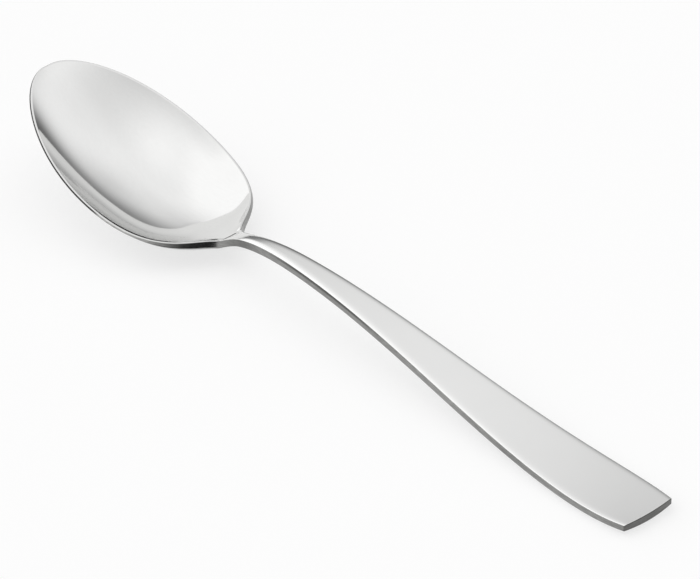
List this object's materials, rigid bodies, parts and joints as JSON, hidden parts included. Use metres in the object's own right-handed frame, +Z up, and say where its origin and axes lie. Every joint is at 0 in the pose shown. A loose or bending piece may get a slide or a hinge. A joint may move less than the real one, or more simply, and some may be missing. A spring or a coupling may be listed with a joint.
{
  "type": "rice serving spoon",
  "caption": "Polished steel serving spoon with an egg-shaped bowl, a narrow neck and an arched handle that widens to a square end.",
  "frame": {"origin": "centre of the spoon's box, on the table that it lies on", "axes": "+X from the tip of the bowl to the end of the handle, +Z up out of the open bowl"},
  "size_m": [0.2506, 0.051, 0.0297],
  "materials": {
    "polished_bowl": "mirror-polished stainless steel",
    "polished_handle": "polished stainless steel with fine polishing lines and plain ground edges"
  },
  "bodies": {
    "root": {"bowl": "polished_bowl", "handle": "polished_handle"}
  },
  "joints": []
}
